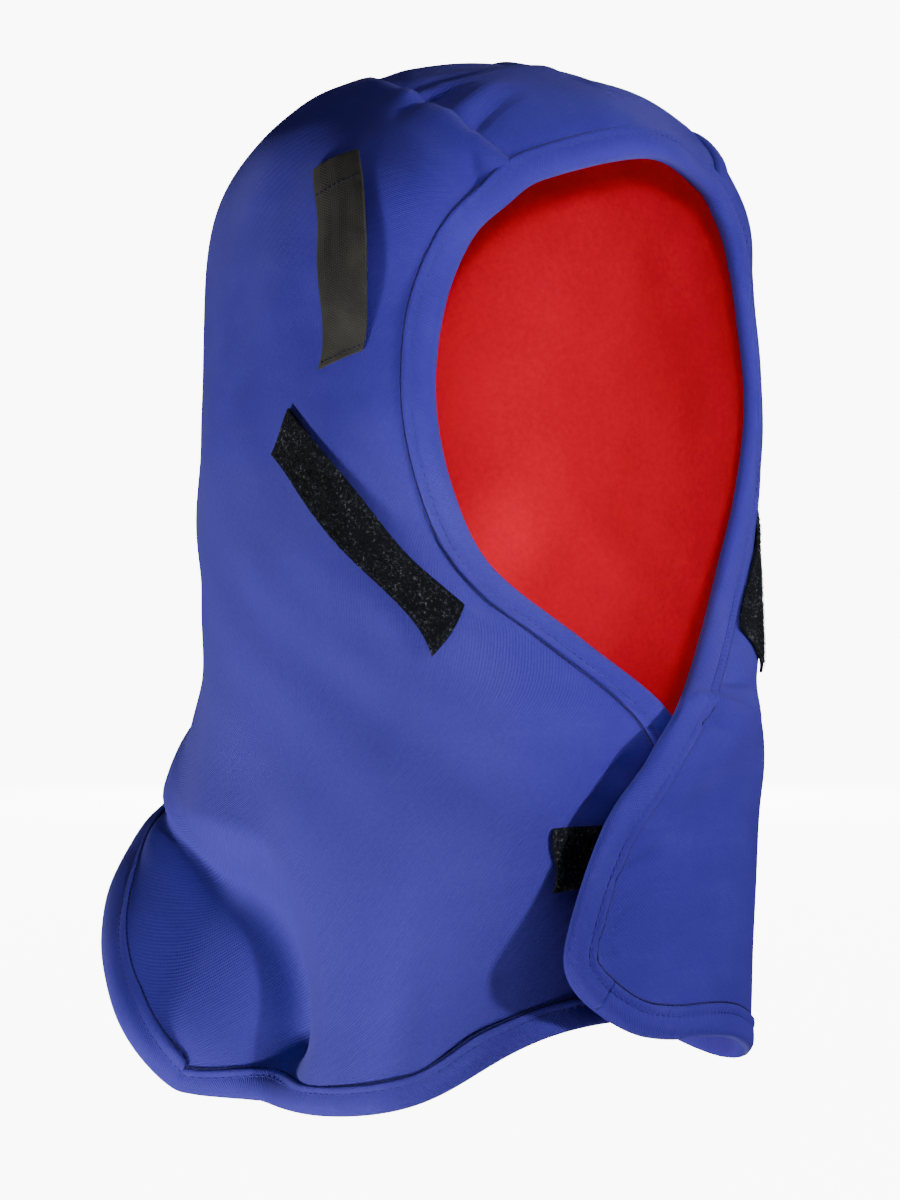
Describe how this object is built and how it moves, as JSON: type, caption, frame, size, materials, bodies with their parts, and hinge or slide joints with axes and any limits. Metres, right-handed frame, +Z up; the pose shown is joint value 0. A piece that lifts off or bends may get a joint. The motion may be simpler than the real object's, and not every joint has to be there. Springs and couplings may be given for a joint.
{
  "type": "hard hat winter liner",
  "caption": "Soft hood worn under a hard hat: blue cotton shell with a red lining, bound face opening, crossed chin flaps, a flared skirt, cheek tapes and suspension straps.",
  "frame": {"origin": "top of the lining's inner face, where the top of the head touches it", "axes": "+Z up along the wearer's neck, the face opening looks along -Y, +X to the wearer's left"},
  "size_m": [0.2415, 0.2458, 0.4071],
  "materials": {
    "blue_cotton": "soft cotton twill",
    "blue_binding": "folded cotton tape",
    "red_lining": "brushed fleece",
    "black_tape": "loop pile",
    "grey_webbing": "woven webbing"
  },
  "bodies": {
    "root": {"side_panel_right": "blue_cotton", "side_panel_left": "blue_cotton", "crown_panel": "blue_cotton", "lining_right": "red_lining", "lining_left": "red_lining", "face_binding": "blue_binding", "hem_binding": "blue_binding", "cheek_tape_right": "black_tape", "cheek_tape_left": "black_tape", "suspension_strap_right": "grey_webbing", "suspension_strap_left": "grey_webbing", "closure_loop_patch": "black_tape", "closure_hook_patch": "black_tape"}
  },
  "joints": []
}
